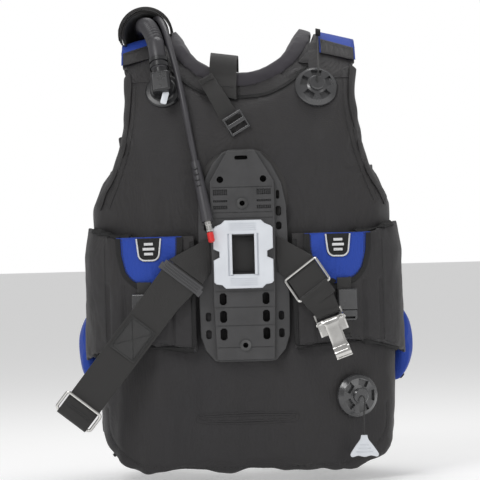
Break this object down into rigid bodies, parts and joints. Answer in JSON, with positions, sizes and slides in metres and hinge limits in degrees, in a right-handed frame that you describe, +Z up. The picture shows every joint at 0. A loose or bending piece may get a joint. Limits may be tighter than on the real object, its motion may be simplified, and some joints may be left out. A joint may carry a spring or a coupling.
{
  "type": "buoyancy compensator vest",
  "caption": "Jacket-style diving buoyancy compensator with backplate, cylinder band, dump valves, inflator and weight pockets.",
  "frame": {"origin": "midway between the two threaded bushings of the backplate, on the front face of its raised block, which faces the cylinder", "axes": "-Y towards the cylinder, +Y towards the wearer's chest, +X to the wearer's right, +Z up"},
  "size_m": [0.5159, 0.3594, 0.6804],
  "materials": {
    "shell_fabric": "coated woven nylon",
    "accent_fabric": "royal blue woven nylon",
    "neoprene": "laminated neoprene",
    "webbing": "ribbed polyester webbing",
    "plate_plastic": "glass-filled moulded plastic",
    "pad_plastic": "light grey moulded plastic",
    "buckle_plastic": "moulded acetal",
    "valve_plastic": "moulded plastic",
    "steel": "polished stainless steel",
    "hose_rubber": "smooth rubber",
    "red_plastic": "red vinyl cap",
    "button_plastic": "grey moulded plastic",
    "cord": "braided cord"
  },
  "bodies": {
    "root": {"back_pad": "shell_fabric", "back_panel": "shell_fabric", "backplate": "plate_plastic", "band_centre": "webbing", "cargo_pockets": "shell_fabric", "carry_handle": "webbing", "chest_buckle": "buckle_plastic", "chest_straps": "webbing", "corrugated_hose": "hose_rubber", "coupler_stem": "steel", "cummerbund": "neoprene", "d_ring_loops": "webbing", "elbow_flange": "valve_plastic", "hose_clamps": "valve_plastic", "hose_elbow": "valve_plastic", "hose_fitting": "steel", "hose_retainer": "neoprene", "hose_sleeve": "hose_rubber", "inflator_body": "valve_plastic", "ladder_buckle": "buckle_plastic", "left_front_lobe": "shell_fabric", "left_pocket_buckle": "buckle_plastic", "left_shoulder": "shell_fabric", "lower_dump_cord": "cord", "lower_dump_valve": "valve_plastic", "lp_hose": "hose_rubber", "mouthpiece": "hose_rubber", "neck_collar": "neoprene", "plate_bushings": "steel", "pocket_flaps": "accent_fabric", "right_front_lobe": "shell_fabric", "right_pocket_buckle": "buckle_plastic", "right_shoulder": "shell_fabric", "safety_strap": "webbing", "shoulder_patches": "accent_fabric", "shoulder_straps": "webbing", "side_pouches": "accent_fabric", "tank_pad": "pad_plastic", "upper_dump_cord": "cord", "upper_dump_valve": "valve_plastic", "weight_pockets": "shell_fabric"},
    "left_band": {"left_band": "webbing", "strap_keeper": "buckle_plastic"},
    "bail": {"band_bail": "steel"},
    "right_band": {"right_band": "webbing"},
    "ring": {"band_ring": "steel"},
    "cam": {"cam_strap": "webbing", "cam_buckle": "steel"},
    "lever": {"cam_lever": "steel"},
    "inflate_button": {"inflate_button": "button_plastic"},
    "deflate_button": {"deflate_button": "button_plastic"},
    "coupler_sleeve": {"quick_coupler": "steel"},
    "hose_cap": {"hose_cap": "red_plastic"},
    "upper_knob": {"upper_dump_knob": "buckle_plastic"},
    "lower_knob": {"lower_dump_knob": "pad_plastic"},
    "left_clip": {"left_pocket_clip": "buckle_plastic"},
    "right_clip": {"right_pocket_clip": "buckle_plastic"},
    "chest_clip": {"chest_clip": "buckle_plastic"},
    "left_d_ring": {"left_d_ring": "steel"},
    "right_d_ring": {"right_d_ring": "steel"}
  },
  "joints": [
    {"name": "left_band_swing", "type": "hinge", "parent": "root", "child": "left_band", "pos_m": [-0.0474, 0.0062, 0.0285], "axis": [0, 0, 1], "range_deg": [0, 45]},
    {"name": "bail_pivot", "type": "hinge", "parent": "left_band", "child": "bail", "pos_m": [-0.2483, -0.0092, -0.1996], "axis": [0.7839, 0, -0.6209], "range_deg": [0, 150]},
    {"name": "right_band_swing", "type": "hinge", "parent": "root", "child": "right_band", "pos_m": [0.0474, 0.0062, 0.0285], "axis": [0, 0, 1], "range_deg": [-50, 0]},
    {"name": "ring_pivot", "type": "hinge", "parent": "right_band", "child": "ring", "pos_m": [0.0796, -0.009, 0.0054], "axis": [0.7726, -0.2589, 0.5797], "range_deg": [-40, 0]},
    {"name": "cam_swing", "type": "hinge", "parent": "ring", "child": "cam", "pos_m": [0.09946, -0.01885, -0.02547], "axis": [0.7726, -0.2589, 0.5797], "range_deg": [-40, 0]},
    {"name": "lever_pivot", "type": "hinge", "parent": "cam", "child": "lever", "pos_m": [0.12098, -0.0254, -0.06889], "axis": [0.9404, 0, 0.3401], "range_deg": [-95, 0]},
    {"name": "inflate_press", "type": "slide", "parent": "root", "child": "inflate_button", "axis": [0, -1, 0], "range_m": [0, 0.003], "stiffness_N_per_m": 400},
    {"name": "deflate_press", "type": "slide", "parent": "root", "child": "deflate_button", "axis": [0, 0, 1], "range_m": [0, 0.003], "stiffness_N_per_m": 400},
    {"name": "coupler_slide", "type": "slide", "parent": "root", "child": "coupler_sleeve", "axis": [0, 0, 1], "range_m": [0, 0.004], "stiffness_N_per_m": 400},
    {"name": "cap_pull", "type": "slide", "parent": "root", "child": "hose_cap", "axis": [0.1759, -0.239, -0.9549], "range_m": [0, 0.014]},
    {"name": "upper_dump_pull", "type": "slide", "parent": "root", "child": "upper_knob", "axis": [0, 0, -1], "range_m": [0, 0.01], "stiffness_N_per_m": 500},
    {"name": "lower_dump_pull", "type": "slide", "parent": "root", "child": "lower_knob", "axis": [0, 0, -1], "range_m": [0, 0.01], "stiffness_N_per_m": 500},
    {"name": "left_clip_release", "type": "slide", "parent": "root", "child": "left_clip", "axis": [0, 0, -1], "range_m": [0, 0.018]},
    {"name": "right_clip_release", "type": "slide", "parent": "root", "child": "right_clip", "axis": [0, 0, -1], "range_m": [0, 0.018]},
    {"name": "chest_clip_release", "type": "slide", "parent": "root", "child": "chest_clip", "axis": [1, 0, 0], "range_m": [0, 0.012]},
    {"name": "left_d_ring_swing", "type": "hinge", "parent": "root", "child": "left_d_ring", "pos_m": [-0.074, 0.2842, 0.056], "axis": [1, 0, 0], "range_deg": [0, 120]},
    {"name": "right_d_ring_swing", "type": "hinge", "parent": "root", "child": "right_d_ring", "pos_m": [0.074, 0.2842, 0.056], "axis": [1, 0, 0], "range_deg": [0, 120]}
  ]
}
